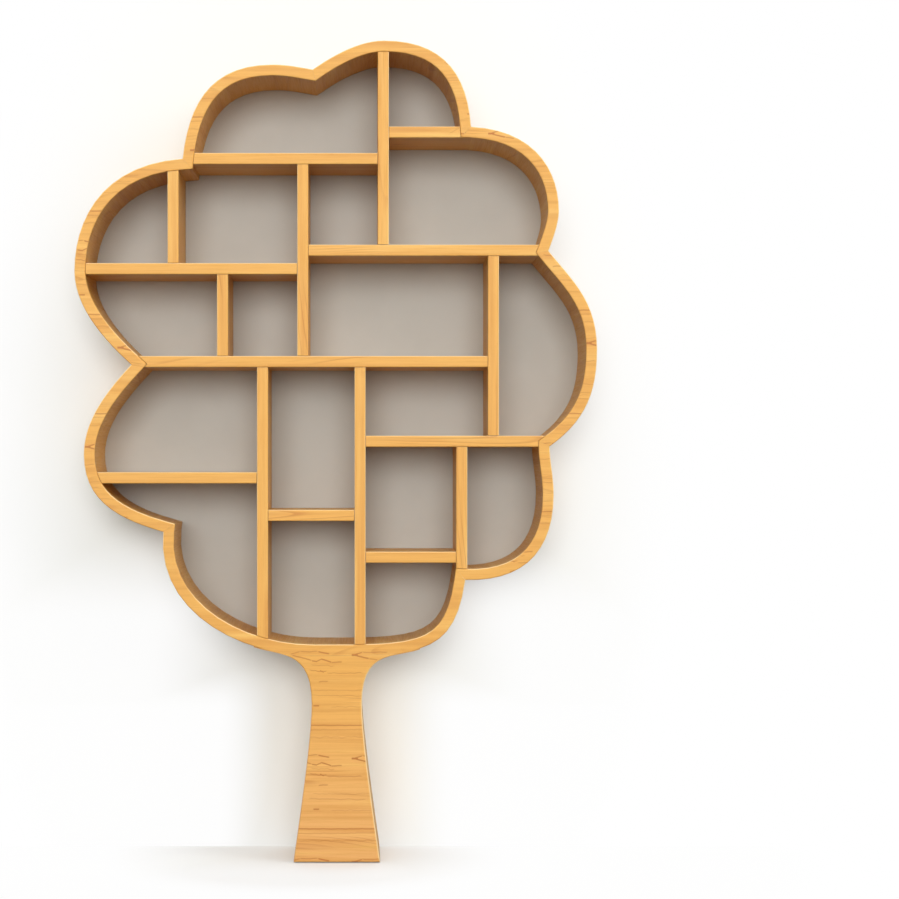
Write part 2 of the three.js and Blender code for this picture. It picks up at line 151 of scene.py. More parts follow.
def mix_colour(tree, share, first, second, blend="MIX"):
    inputs = {MIX_FACTOR: share, MIX_COLOUR_A: first, MIX_COLOUR_B: second}
    return add(tree, "ShaderNodeMix", inputs, data_type="RGBA", blend_type=blend).outputs[MIX_COLOUR_OUT]


def mix_place(tree, share, first, second):
    inputs = {MIX_FACTOR: share, MIX_VECTOR_A: first, MIX_VECTOR_B: second}
    return add(tree, "ShaderNodeMix", inputs, data_type="VECTOR").outputs[MIX_VECTOR_OUT]


def combine(tree, x, y, z):
    return add(tree, "ShaderNodeCombineXYZ", {0: x, 1: y, 2: z}).outputs[0]


def new_group(name, inputs, outputs):
    group = bpy.data.node_groups.new(name, "ShaderNodeTree")
    for label, kind in inputs:
        group.interface.new_socket(label, in_out="INPUT", socket_type=kind)
    for label, kind in outputs:
        group.interface.new_socket(label, in_out="OUTPUT", socket_type=kind)
    entry = group.nodes.new("NodeGroupInput")
    leave = group.nodes.new("NodeGroupOutput")
    return group, entry, leave


# The figure of the pine, as strokes. A stroke runs from its left to its right end, both measured
# from the tip of the figure's arrow, at a height over that tip, with a slope, a wave, a thickness and
# a strength. The whole figure comes back at each repeat, as it does in the veneer.
figure_repeat_along = 610 * MM
figure_repeat_up = 279.5 * MM
figure_strokes = (
    # left, right, height, slope, wave, thickness (all mm but the slope), strength
    (-3, 17, 0, 0.0, 0.3, 4.8, 0.95),
    (4, 28, 0.5, 0.29, 0.3, 3.0, 0.80),
    (24, 98, 7.5, 0.0, 1.6, 2.8, 0.55),
    (4, 48, -0.5, -0.22, 0.6, 3.6, 0.90),
    (44, 70, -10, -0.10, 0.8, 2.8, 0.60),
    (-168, -140, 1.5, 0.30, 0.4, 2.8, 0.60),
    (-144, -90, 9.6, 0.0, 1.4, 2.8, 0.60),
    (-94, -60, 9.6, -0.20, 0.8, 3.2, 0.90),
    (-166, -106, 0, -0.25, 1.4, 3.2, 0.75),
    (-110, -94, -15.5, -0.15, 0.3, 3.2, 0.85),
    (-98, -80, -18, 0.45, 0.3, 3.0, 0.80),
    (-86, -54, -10.4, -0.29, 0.6, 3.4, 0.90),
    (-58, -26, -19.5, 0.03, 1.2, 3.0, 0.70),
    (-115, -45, -28, 0.0, 5.0, 2.4, 0.40),
    (-118, -66, -42, -0.05, 7.0, 2.6, 0.60),
    (-88, -76, -42, -0.40, 0.3, 3.0, 0.85),
    (-72, 30, -48, 0.0, 3.0, 2.4, 0.50),
    (-92, -64, -72, 0.05, 1.5, 3.0, 0.55),
    (-110, 60, -96, 0.01, 3.0, 2.2, 0.30),
    (-120, 40, -109, -0.01, 3.0, 2.4, 0.35),
    (-106, -88, -137, 0.0, 0.5, 3.6, 0.80),
    (-60, 70, -140, 0.0, 3.0, 2.0, 0.30),
    (-190, 120, -190, 0.0, 1.0, 3.0, 0.75),
    (-190, 120, -203, 0.01, 2.0, 3.6, 0.30),
    (-150, 60, -222, 0.0, 3.0, 3.2, 0.30),
)
stroke_fade = 9 * MM
stroke_fade_share = 0.15
wave_run = 42
wave_gain = 3
wave_seeds = (0.37, 0.11)
above_tip = 12 * MM


def build_figure_group():
    """A height and a place along the grain in, the darkness of the drawn figure out."""
    group, entry, leave = new_group(
        "pine_figure",
        [("Along", "NodeSocketFloat"), ("Up", "NodeSocketFloat")],
        [("Dark", "NodeSocketFloat")])
    half_along = figure_repeat_along / 2
    along = maths(group, "WRAP", entry.outputs["Along"], half_along, -half_along)
    up = maths(group, "WRAP", entry.outputs["Up"], above_tip, above_tip - figure_repeat_up)
    total = None
    for number, (left, right, height, slope, wave, thickness, strength) in enumerate(figure_strokes):
        left *= MM
        right *= MM
        wave_place = combine(group, along, *(number * seed for seed in wave_seeds))
        waving = noise(group, wave_place, (wave_run, 1.0, 1.0), detail=1.0)
        centred = maths(group, "SUBTRACT", waving, 0.5)
        lift = maths(group, "MULTIPLY_ADD", centred, wave_gain * wave * MM, height * MM - slope * left)
        line = maths(group, "MULTIPLY_ADD", along, slope, lift)
        off = maths(group, "ABSOLUTE", maths(group, "SUBTRACT", up, line))
        stroke = ramp(group, off, 0.0, thickness * MM, strength, 0.0)
        fade = min(stroke_fade, stroke_fade_share * (right - left))
        starts = ramp(group, along, left, left + fade)
        ends = ramp(group, along, right - fade, right, 1.0, 0.0)
        stroke = maths(group, "MULTIPLY", maths(group, "MULTIPLY", stroke, starts), ends)
        total = stroke if total is None else maths(group, "MAXIMUM", total, stroke)
    group.links.new(total, leave.inputs["Dark"])
    return group


# The pine's colours, and the colours of its painted highlight and painted shades
pine_pale = linear(247, 198, 109)
pine_base = linear(238, 178, 87)
pine_deep = linear(219, 152, 70)
pine_line = linear(184, 100, 34)
pine_foot = linear(238, 178, 112)
# Painted highlight: the colour that the roundings turn to where they face the lamps
painted_highlight_colour = linear(254, 222, 164)
# Painted shade for the grooves at the boards' ends
painted_joint_shade = linear(140, 88, 42)
# Painted shade: the sides of every piece are multiplied darker and duller than its front
painted_side_shade = linear(232, 236, 235)

# The pine's noises: features to the metre along and across the grain, detail, roughness
pine_noises = {
    "sway": ((2.4, 15.0, 15.0), 2.0, 0.5),
    "bands": ((1.1, 46.0, 46.0), 3.0, 0.6),
    "pale": ((1.6, 31.0, 31.0), 2.0, 0.5),
    "fibres": ((9.0, 460.0, 460.0), 2.0, 0.6),
    "flecks": ((55.0, 1500.0, 1500.0), 1.0, 0.5),
    "rings": ((0.9, 9.0, 9.0), 0.0, 0.5),
    "late_wood": ((3.2, 17.0, 17.0), 1.0, 0.5),
}
# The run of each noise over which its mark comes in, and the most of the mark that shows
pine_runs = {
    "bands": (0.40, 0.72), "pale": (0.52, 0.75), "flecks": (0.60, 0.78), "late_wood": (0.50, 0.70),
    "streaks": (0.48, 0.72), "roughness": (0.3, 0.7),
}
pine_shares = {
    "bands": 0.70, "pale": 0.70, "streaks": 0.40, "late_wood": 0.42, "flecks": 0.16, "figure": 0.95,
}
pine_roughness = (0.40, 0.52)
pine_heights = {"late_wood": -0.5, "fibres": 0.6, "flecks": -0.4}
pine_sway = 12 * MM
ring_count = 24.0
ring_rise = (0.62, 0.94)
ring_fall = (0.94, 1.0)


def build_pine_group():
    """Solid pine. X of the place runs along the grain, Y and Z across it."""
    group, entry, leave = new_group(
        "pine",
        [("Place", "NodeSocketVector"), ("Figure", "NodeSocketFloat"), ("Foot", "NodeSocketFloat")],
        [("Colour", "NodeSocketColor"), ("Roughness", "NodeSocketFloat"), ("Height", "NodeSocketFloat")])
    place = entry.outputs["Place"]
    sway = maths(group, "SUBTRACT", noise(group, place, *pine_noises["sway"]), 0.5)
    sideways = combine(group, 0.0, maths(group, "MULTIPLY", sway, pine_sway), 0.0)
    swayed = add(group, "ShaderNodeVectorMath", {0: place, 1: sideways}, operation="ADD").outputs[0]

    bands = ramp(group, noise(group, swayed, *pine_noises["bands"]), *pine_runs["bands"])
    pale = ramp(group, noise(group, swayed, *pine_noises["pale"]), *pine_runs["pale"])
    fibres = noise(group, swayed, *pine_noises["fibres"])
    flecks = ramp(group, noise(group, swayed, *pine_noises["flecks"]), *pine_runs["flecks"])

    turns = maths(group, "MULTIPLY", noise(group, swayed, *pine_noises["rings"]), ring_count)
    rings = maths(group, "FRACT", turns)
    rise = ramp(group, rings, *ring_rise)
    fall = ramp(group, rings, *ring_fall, 1.0, 0.0)
    late = maths(group, "MULTIPLY", rise, fall)
    where = ramp(group, noise(group, place, *pine_noises["late_wood"]), *pine_runs["late_wood"])
    late = maths(group, "MULTIPLY", late, where)

    streaks = ramp(group, fibres, *pine_runs["streaks"], 0.0, pine_shares["streaks"])
    marks = (
        (maths(group, "MULTIPLY", bands, pine_shares["bands"]), pine_deep),
        (maths(group, "MULTIPLY", pale, pine_shares["pale"]), pine_pale),
        (streaks, pine_deep),
        (maths(group, "MULTIPLY", late, pine_shares["late_wood"]), pine_line),
        (maths(group, "MULTIPLY", flecks, pine_shares["flecks"]), pine_line),
        (maths(group, "MULTIPLY", entry.outputs["Figure"], pine_shares["figure"]), pine_line),
    )
    colour = mix_colour(group, entry.outputs["Foot"], pine_base, pine_foot)
    for share, mark in marks:
        colour = mix_colour(group, share, colour, mark)

    rough = ramp(group, fibres, *pine_runs["roughness"], *pine_roughness)
    height = maths(group, "MULTIPLY", fibres, pine_heights["fibres"])
    height = maths(group, "MULTIPLY_ADD", late, pine_heights["late_wood"], height)
    height = maths(group, "MULTIPLY_ADD", flecks, pine_heights["flecks"], height)
    group.links.new(colour, leave.inputs["Colour"])
    group.links.new(rough, leave.inputs["Roughness"])
    group.links.new(height, leave.inputs["Height"])
    return group


figure_group = build_figure_group()
pine_group = build_pine_group()


def new_material(name):
    """A material with an empty tree, its surface shader and its place, split into X, Y and Z."""
    material = bpy.data.materials.new(name)
    material.use_nodes = True
    tree = material.node_tree
    tree.nodes.clear()
    output = tree.nodes.new("ShaderNodeOutputMaterial")
    surface = tree.nodes.new("ShaderNodeBsdfPrincipled")
    tree.links.new(surface.outputs[0], output.inputs["Surface"])
    where = tree.nodes.new("ShaderNodeTexCoord")
    split = add(tree, "ShaderNodeSeparateXYZ", {0: where.outputs["Object"]})
    facing = add(tree, "ShaderNodeSeparateXYZ", {0: where.outputs["Normal"]})
    return material, tree, surface, split.outputs, facing.outputs


def add_bump(tree, surface, height, depth, strength=1.0):
    bump = add(tree, "ShaderNodeBump", {"Height": height, "Distance": depth, "Strength": strength})
    tree.links.new(bump.outputs[0], surface.inputs["Normal"])


pine_bump = 0.10 * MM
pine_specular = 0.28
seed_step = (1.37, 0.71, 2.13)

# The size of a normal's Y tells a side from a rounding and a rounding from a front
side_turn = (0.02, 0.20)
front_turn = (0.85, 0.98)
flat_turn = (0.55, 0.65)

# Painted highlights on the rounded edges: how far each way of facing counts, and the run of that sum over
# which they turn pale
crown_middle = 76 * MM
middle_blend = 40 * MM
outward_share = 0.8
right_share = 0.2
trunk_rise = 0.2
lean_run = (-0.05, 0.25)
highlight_values = (0.15, 1.0)

# Painted shade in the joints' grooves: the run of the normal's part along the board over which a board's end
# roundings turn dark, and how dark
end_run = (0.2, 0.5)
joint_shade_share = 0.6
foot_share = 0.7


def rounding_mask(tree, facing):
    """Marks the roundings, which look neither straight ahead nor straight aside."""
    turned = maths(tree, "ABSOLUTE", facing[1])
    off_side = ramp(tree, turned, *side_turn)
    off_front = ramp(tree, turned, *front_turn, 1.0, 0.0)
    return maths(tree, "MULTIPLY", off_side, off_front)


def painted_edge_highlight(tree, place, facing, in_trunk):
    """How much painted highlight the rounded edges get: on the crown most where a rounding looks up, or away
    from the crown's middle, and on the trunk most where it looks to the right, the ways that the lamps light
    most."""
    if in_trunk:
        lean = maths(tree, "MULTIPLY_ADD", facing[2], trunk_rise, facing[0])
    else:
        left, right = crown_middle - middle_blend, crown_middle + middle_blend
        outward = maths(tree, "MULTIPLY", facing[0], ramp(tree, place[0], left, right, -1.0, 1.0))
        lean = maths(tree, "MULTIPLY_ADD", outward, outward_share, facing[2])
        lean = maths(tree, "MULTIPLY_ADD", facing[0], right_share, lean)
    highlight_share = ramp(tree, lean, *lean_run, *highlight_values)
    return maths(tree, "MULTIPLY", rounding_mask(tree, facing), highlight_share)


def highlight_outside_seams(tree, place, highlight_share, seams):
    """Takes the painted highlight off an edge where the end of a board meets it."""
    flat = combine(tree, place[0], 0.0, place[2])
    for middle, half in seams:
        inputs = {0: flat, 1: (middle.x, 0.0, middle.z)}
        off = add(tree, "ShaderNodeVectorMath", inputs, operation="DISTANCE").outputs["Value"]
        low, high = (half * share for share in seam_reach)
        highlight_share = maths(tree, "MULTIPLY", highlight_share, ramp(tree, off, low, high))
    return highlight_share


def joint_groove_shade(tree, facing, grain):
    """How dark the roundings at a board's ends are: painted shade for the grooves where it meets its
    neighbours.
    """
    toward_end = maths(tree, "ABSOLUTE", facing["xyz".index(grain)])
    darkness = ramp(tree, toward_end, *end_run, 0.0, joint_shade_share)
    return maths(tree, "MULTIPLY", rounding_mask(tree, facing), darkness)


def pine_material(name, grain, seed, figure_tip=None, foot_top=None, seams=()):
    """Pine for one piece. Its grain runs along x or z, or bent: along x in front and y on its sides."""
    material, tree, surface, place, facing = new_material(name)
    x, y, z = place
    along_x = combine(tree, x, z, y)
    if grain == "x":
        grained = along_x
    elif grain == "z":
        grained = combine(tree, z, x, y)
    else:
        along_y = combine(tree, y, x, z)
        flat = ramp(tree, maths(tree, "ABSOLUTE", facing[1]), *flat_turn)
        grained = mix_place(tree, flat, along_y, along_x)
    shift = tuple(step * seed for step in seed_step)
    grained = add(tree, "ShaderNodeVectorMath", {0: grained, 1: shift}, operation="ADD").outputs[0]
    pine = add(tree, "ShaderNodeGroup", {}, node_tree=pine_group)
    tree.links.new(grained, pine.inputs["Place"])
    if figure_tip is not None:
        figure = add(tree, "ShaderNodeGroup", {}, node_tree=figure_group)
        tree.links.new(maths(tree, "SUBTRACT", x, figure_tip[0]), figure.inputs["Along"])
        tree.links.new(maths(tree, "SUBTRACT", z, figure_tip[1]), figure.inputs["Up"])
        in_front = ramp(tree, maths(tree, "MULTIPLY", facing[1], -1.0), *flat_turn)
        drawn = maths(tree, "MULTIPLY", figure.outputs["Dark"], in_front)
        tree.links.new(drawn, pine.inputs["Figure"])
    if foot_top is not None:
        tree.links.new(ramp(tree, z, 0.0, foot_top, foot_share, 0.0), pine.inputs["Foot"])
    # Painted shade: the sides turn darker and duller than the front
    painted_shade_on_sides = ramp(tree, maths(tree, "ABSOLUTE", facing[1]), *side_turn, 1.0, 0.0)
    colour = mix_colour(tree, painted_shade_on_sides, pine.outputs["Colour"], painted_side_shade, "MULTIPLY")
    # Painted highlight on the roundings that face the lamps, taken off where board ends meet them
    pale = painted_edge_highlight(tree, place, facing, foot_top is not None)
    pale = highlight_outside_seams(tree, place, pale, seams)
    colour = mix_colour(tree, pale, colour, painted_highlight_colour)
    # Painted shade in the grooves at the board's ends
    if grain != "bent":
        colour = mix_colour(tree, joint_groove_shade(tree, facing, grain), colour, painted_joint_shade)
    tree.links.new(colour, surface.inputs["Base Color"])
    tree.links.new(pine.outputs["Roughness"], surface.inputs["Roughness"])
    surface.inputs["Specular IOR Level"].default_value = pine_specular
    add_bump(tree, surface, pine.outputs["Height"], pine_bump)
    return material


ply_face = linear(226, 190, 140)
ply_dark = linear(196, 152, 100)
ply_glue = linear(120, 84, 50)
ply_layer = 1.5 * MM
ply_bump = 0.08 * MM
ply_specular = 0.3
ply_seed_step = 0.53
ply_noises = {
    "grain": ((7.0, 150.0, 1.0), 3.0, 0.6),
    "clouds": ((1.8, 16.0, 1.0), 2.0, 0.5),
    "speckle": ((420.0, 420.0, 420.0), 1.0, 0.5),
}
ply_runs = {
    "grain": (0.42, 0.70), "clouds": (0.40, 0.70), "speckle": (0.4, 0.7), "layer": (0.47, 0.53),
    "toward": (0.5, 0.6), "roughness": (0.3, 0.7),
}
ply_shares = {"grain": (0.0, 0.55), "clouds": (0.0, 0.25), "speckle": (0.2, 0.7)}
ply_roughness = (0.50, 0.66)


def plywood_material(name, thickness_axis, seed):
    """Plywood, with its layers on the faces that show the sheet's thickness."""
    material, tree, surface, place, facing = new_material(name)
    across = place["XYZ".index(thickness_axis)]
    runs = [place[index] for index, axis in enumerate("XYZ") if axis != thickness_axis]
    flat_place = combine(tree, runs[0], maths(tree, "ADD", runs[1], seed * ply_seed_step), 0.0)
    grain = noise(tree, flat_place, *ply_noises["grain"])
    clouds = noise(tree, flat_place, *ply_noises["clouds"])
    grain_share = ramp(tree, grain, *ply_runs["grain"], *ply_shares["grain"])
    cloud_share = ramp(tree, clouds, *ply_runs["clouds"], *ply_shares["clouds"])
    face = mix_colour(tree, grain_share, ply_face, ply_dark)
    face = mix_colour(tree, cloud_share, face, ply_dark)
    layer = maths(tree, "FRACT", maths(tree, "DIVIDE", across, 2 * ply_layer))
    end_grain = ramp(tree, layer, *ply_runs["layer"])
    speckle = noise(tree, combine(tree, *place), *ply_noises["speckle"])
    speckle_share = ramp(tree, speckle, *ply_runs["speckle"], *ply_shares["speckle"])
    edge = mix_colour(tree, end_grain, face, mix_colour(tree, speckle_share, ply_dark, ply_glue))
    toward = maths(tree, "ABSOLUTE", facing["XYZ".index(thickness_axis)])
    colour = mix_colour(tree, ramp(tree, toward, *ply_runs["toward"]), edge, face)
    tree.links.new(colour, surface.inputs["Base Color"])
    rough = ramp(tree, grain, *ply_runs["roughness"], *ply_roughness)
    tree.links.new(rough, surface.inputs["Roughness"])
    surface.inputs["Specular IOR Level"].default_value = ply_specular
    add_bump(tree, surface, grain, ply_bump)
    return material


paint_colour = linear(191, 190, 183)
paint_shade = linear(183, 182, 175)
board_colour = linear(128, 92, 62)
board_dark = linear(96, 66, 42)
sheet_bump = 0.06 * MM
sheet_specular = 0.25
sheet_noises = {
    "clouds": ((5.0, 5.0, 1.0), 3.0, 0.5),
    "roller": ((520.0, 520.0, 1.0), 2.0, 0.6),
    "fibres": ((240.0, 240.0, 1.0), 4.0, 0.7),
    "patches": ((14.0, 14.0, 1.0), 2.0, 0.5),
}
sheet_runs = {
    "clouds": (0.35, 0.65), "fibres": (0.35, 0.70), "patches": (0.40, 0.70), "behind": (0.4, 0.6),
    "roughness": (0.3, 0.7),
}
sheet_shares = {"clouds": (0.0, 0.5), "patches": (0.0, 0.35)}
sheet_roughness = (0.52, 0.66)
pressed_run = 1150.0
pressed_heights = {"fibres": 0.8, "pressed": 0.3}


def back_sheet_material(name):
    """A sheet with warm grey paint in front and raw pressed fibre behind."""
    material, tree, surface, place, facing = new_material(name)
    x, y, z = place
    flat_place = combine(tree, x, z, 0.0)
    clouds, roller, fibres, patches = (noise(tree, flat_place, *values) for values in sheet_noises.values())
    cloud_share = ramp(tree, clouds, *sheet_runs["clouds"], *sheet_shares["clouds"])
    paint = mix_colour(tree, cloud_share, paint_colour, paint_shade)
    raw = mix_colour(tree, ramp(tree, fibres, *sheet_runs["fibres"]), board_colour, board_dark)
    patch_share = ramp(tree, patches, *sheet_runs["patches"], *sheet_shares["patches"])
    raw = mix_colour(tree, patch_share, raw, board_dark)
    behind = ramp(tree, facing[1], *sheet_runs["behind"])
    tree.links.new(mix_colour(tree, behind, paint, raw), surface.inputs["Base Color"])
    rough = ramp(tree, roller, *sheet_runs["roughness"], *sheet_roughness)
    tree.links.new(rough, surface.inputs["Roughness"])
    surface.inputs["Specular IOR Level"].default_value = sheet_specular
    wires = [maths(tree, "SINE", maths(tree, "MULTIPLY", run, pressed_run)) for run in (x, z)]
    pressed = maths(tree, "MULTIPLY", maths(tree, "MULTIPLY", *wires), pressed_heights["pressed"])
    pressed_height = maths(tree, "MULTIPLY_ADD", fibres, pressed_heights["fibres"], pressed)
    inputs = {0: behind, 2: roller, 3: pressed_height}
    height = add(tree, "ShaderNodeMix", inputs, data_type="FLOAT").outputs[0]
    add_bump(tree, surface, height, sheet_bump)
    return material


steel_bright = linear(214, 212, 206)
steel_dull = linear(160, 158, 150)
plastic_colour = linear(52, 50, 48)
plastic_worn = linear(78, 75, 71)
small_part_finishes = {
    "steel": {
        "patches": ((260.0, 260.0, 260.0), 3.0, 0.6), "patch_run": (0.35, 0.70),
        "relief": ((3200.0, 900.0, 500.0), 2.0, 0.5), "depth": 0.02 * MM,
        "colours": (steel_bright, steel_dull), "roughness": (0.26, 0.42), "metallic": 1.0,
    },
    "plastic": {
        "patches": ((120.0, 120.0, 120.0), 2.0, 0.5), "patch_run": (0.45, 0.75),
        "relief": ((1900.0, 1900.0, 1900.0), 2.0, 0.5), "depth": 0.03 * MM,
        "colours": (plastic_colour, plastic_worn), "roughness": (0.42, 0.58), "metallic": 0.0,
    },
}
small_part_roughness_run = (0.3, 0.7)


def small_part_material(name, finish):
    """Zinc plated steel or moulded plastic, in patches of two colours and with a fine relief."""
    material, tree, surface, place, facing = new_material(name)
    spot = combine(tree, *place)
    patches = noise(tree, spot, *finish["patches"])
    relief = noise(tree, spot, *finish["relief"])
    colour = mix_colour(tree, ramp(tree, patches, *finish["patch_run"]), *finish["colours"])
    tree.links.new(colour, surface.inputs["Base Color"])
    rough = ramp(tree, patches, *small_part_roughness_run, *finish["roughness"])
    tree.links.new(rough, surface.inputs["Roughness"])
    surface.inputs["Metallic"].default_value = finish["metallic"]
    add_bump(tree, surface, relief, finish["depth"])
    return material


def face_tree(names):
    """One search tree over the faces of several nodes."""
    corners = []
    faces = []
    for name in names:
        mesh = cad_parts[name].data
        first = len(corners)
        corners += [vertex.co.copy() for vertex in mesh.vertices]
        faces += [tuple(first + index for index in face.vertices) for face in mesh.polygons]
    return BVHTree.FromPolygons(corners, faces)


seam_slack = 3 * MM
seam_reach = (0.9, 1.3)


def board_seams():
    """The middle and half the length of each seam that a board's end shows in front."""
    seams = []
    for name in SHELVES + DIVIDERS:
        axis = 0 if name in SHELVES else 2
        corners = [vertex.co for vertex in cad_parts[name].data.vertices
                   if vertex.co.y < front_plane + plane_slack]
        middle = sum(corner[axis] for corner in corners) / len(corners)
        for toward in (-1, 1):
            end = [corner for corner in corners if toward * (corner[axis] - middle) > 0]
            low = Vector(min(corner[side] for corner in end) for side in range(3))
            high = Vector(max(corner[side] for corner in end) for side in range(3))
            seams.append(((low + high) / 2, (high - low).length / 2))
    return seams


def seams_at(name, seams):
    """The seams that lie on one node."""
    tree = face_tree([name])
    return [(middle, half) for middle, half in seams if tree.find_nearest(middle)[3] < seam_slack]


def wear_material(name, material):
    """Gives a CAD node one material on all its slots."""
    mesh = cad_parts[name].data
    mesh.materials.clear()
    mesh.materials.append(material)


# Where the arrow of the figure lies on each piece that shows it, in x and z
figure_tips = {
    "lobe_top_left": (-392 * MM, 1925 * MM),
    "lobe_upper_right": (413 * MM, 1970 * MM),
    "lobe_left": (-588 * MM, 1392 * MM),
    "lobe_lower_left": (-677 * MM, 1124 * MM),
    "lobe_right": (676 * MM, 1404 * MM),
    "lobe_top": (-150 * MM, 2160 * MM),
    "lobe_lower_right": (560 * MM, 860 * MM),
    "lobe_bottom": (44.6 * MM, 562 * MM),
    "trunk_front": (44.6 * MM, 562 * MM),
}
plywood_axes = {
    "trunk_back": "Y", "trunk_saddle": "Z", "trunk_foot_plate": "Z", "trunk_rib_1": "Z",
    "trunk_rib_2": "Z", "trunk_rib_3": "Z", "hanging_rail": "Y",
}
trunk_top = 560 * MM

# Where the seeds of each kind of piece start, so that no two pieces show the same grain
lobe_seed = 1
shelf_seed = 11
divider_seed = 21
trunk_seed = 31
plywood_seed = 1
tongue_seed = 9


def dress_nodes():
    """Gives each CAD node its finish."""
    seams = board_seams()
    for seed, name in enumerate(LOBES, lobe_seed):
        near_seams = seams_at(name, seams)
        pine = pine_material(f"pine_{name}", "bent", seed, figure_tips.get(name), seams=near_seams)
        wear_material(name, pine)
    for seed, name in enumerate(SHELVES, shelf_seed):
        wear_material(name, pine_material(f"pine_{name}", "x", seed))
    for seed, name in enumerate(DIVIDERS, divider_seed):
        wear_material(name, pine_material(f"pine_{name}", "z", seed))
    for seed, name in enumerate(("trunk_front", "trunk_side_left", "trunk_side_right"), trunk_seed):
        pine = pine_material(f"pine_{name}", "bent", seed, figure_tips.get(name), trunk_top)
        wear_material(name, pine)
    for seed, (name, axis) in enumerate(plywood_axes.items(), plywood_seed):
        wear_material(name, plywood_material(f"plywood_{name}", axis, seed))
    tongue_plywood = plywood_material("plywood_tongue", "Y", tongue_seed)
    for name in TONGUES:
        wear_material(name, tongue_plywood)
    sheet = back_sheet_material("back_sheet")
    for name in ("back_panel_upper", "back_panel_lower"):
        wear_material(name, sheet)
    for name in RAIL_SCREWS + CROWN_SCREWS:
        wear_material(name, steel)
    for name in GLIDES:
        wear_material(name, plastic)


steel = small_part_material("zinc_steel", small_part_finishes["steel"])
plastic = small_part_material("moulded_plastic", small_part_finishes["plastic"])
dress_nodes()


# Edges and shading of the wooden nodes

def edge_key(mesh, edge):
    corners = (mesh.vertices[index].co for index in edge.vertices)
    return tuple(sorted(tuple(round(value, place_digits) for value in corner) for corner in corners))


def gather_edges(mesh):
    """Lists the mesh's edges by place, each with its own numbers and the normals of its faces."""
    found = {}
    by_pair = {tuple(sorted(edge.vertices)): edge.index for edge in mesh.edges}
    for face in mesh.polygons:
        for pair in face.edge_keys:
            number = by_pair[tuple(sorted(pair))]
            key = edge_key(mesh, mesh.edges[number])
            numbers, normals = found.setdefault(key, (set(), []))
            numbers.add(number)
            normals.append(face.normal.copy())
    return found


def meets_neighbour(tree, middle, side):
    """Says whether another front lies right beside an edge of a front."""
    start = middle + side * probe_reach
    start.y = front_plane - probe_start
    hit = tree.ray_cast(start, Vector((0, 1, 0)))[0]
    return hit is not None and hit.y < front_plane + plane_slack


def thin_share(own_tree, middle, side, plane, inward):
    """The most rounding that an edge can take where the piece is thin behind it."""
    start = middle - side * plane_slack
    start.y = plane + inward * probe_reach
    distance = own_tree.ray_cast(start, -side)[3]
    return math.inf if distance is None else thickness_share * distance / round_edge


def edge_shares(name, tree):
    """Yields each edge that gets rounded and how much of the full rounding it gets."""
    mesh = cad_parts[name].data
    own_tree = face_tree([name])
    for key, (numbers, normals) in gather_edges(mesh).items():
        if len(normals) != 2 or normals[0].angle(normals[1]) < sharp_limit:
            continue
        start, end = Vector(key[0]), Vector(key[1])
        middle = (start + end) / 2
        side = min(normals, key=lambda normal: abs(normal.y))
        side = Vector((side.x, 0, side.z)).normalized()
        run = (end - start).normalized()
        if max(start.y, end.y) < front_plane + plane_slack:
            if name in SHELVES:
                share = 1.0 if abs(run.x) > run_limit else hairline_share
            elif name in DIVIDERS:
                share = 1.0 if abs(run.z) > run_limit else hairline_share
            else:
                full = trunk_edge_share if name == "trunk_front" else 1.0
                share = mitre_share if meets_neighbour(tree, middle, side) else full
            share = min(share, thin_share(own_tree, middle, side, front_plane, 1))
        elif min(start.y, end.y) > wall_plane - plane_slack:
            share = min(rear_edge_share, thin_share(own_tree, middle, side, wall_plane, -1))
        else:
            continue
        for number in numbers:
            yield number, share


def smooth_group():
    """Geometry nodes that shade smooth over every edge but the sharp ones."""
    group = bpy.data.node_groups.new("smooth_by_angle", "GeometryNodeTree")
    group.interface.new_socket("Geometry", in_out="INPUT", socket_type="NodeSocketGeometry")
    group.interface.new_socket("Geometry", in_out="OUTPUT", socket_type="NodeSocketGeometry")
    entry = group.nodes.new("NodeGroupInput")
    leave = group.nodes.new("NodeGroupOutput")
    angle = group.nodes.new("GeometryNodeInputMeshEdgeAngle")
    compare = add(group, "FunctionNodeCompare", {0: angle.outputs[0], 1: sharp_limit},
                  data_type="FLOAT", operation="GREATER_THAN")
    faces = add(group, "GeometryNodeSetShadeSmooth", {0: entry.outputs[0], 2: True}, domain="FACE")
    edges = add(group, "GeometryNodeSetShadeSmooth", {0: faces.outputs[0], 2: True}, domain="EDGE")
    sharp = add(group, "GeometryNodeSetShadeSmooth",
                {0: edges.outputs[0], 1: compare.outputs[0], 2: False}, domain="EDGE")
    group.links.new(sharp.outputs[0], leave.inputs[0])
    return group


shade_group = smooth_group()


def finish_edges(name, tree=None):
    """Joins the node's loose triangles, rounds its chosen edges and shades its bends smooth."""
    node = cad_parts[name]
    mesh = node.data
    if "custom_normal" in mesh.attributes:
        mesh.attributes.remove(mesh.attributes["custom_normal"])
    weld = node.modifiers.new("weld", "WELD")
    weld.merge_threshold = weld_reach
    if tree is not None:
        weights = mesh.attributes.new("bevel_weight_edge", "FLOAT", "EDGE")
        for number, share in edge_shares(name, tree):
            weights.data[number].value = share
        dissolve = node.modifiers.new("dissolve", "DECIMATE")
        dissolve.decimate_type = "DISSOLVE"
        dissolve.angle_limit = board_flat_limit if name in SHELVES + DIVIDERS else flat_limit
        bevel = node.modifiers.new("round_edges", "BEVEL")
        bevel.limit_method = "WEIGHT"
        bevel.width = round_edge
        bevel.segments = bevel_steps
        bevel.use_clamp_overlap = False
    shade = node.modifiers.new("shade", "NODES")
    shade.node_group = shade_group
    even = node.modifiers.new("even_normals", "WEIGHTED_NORMAL")
    even.keep_sharp = True


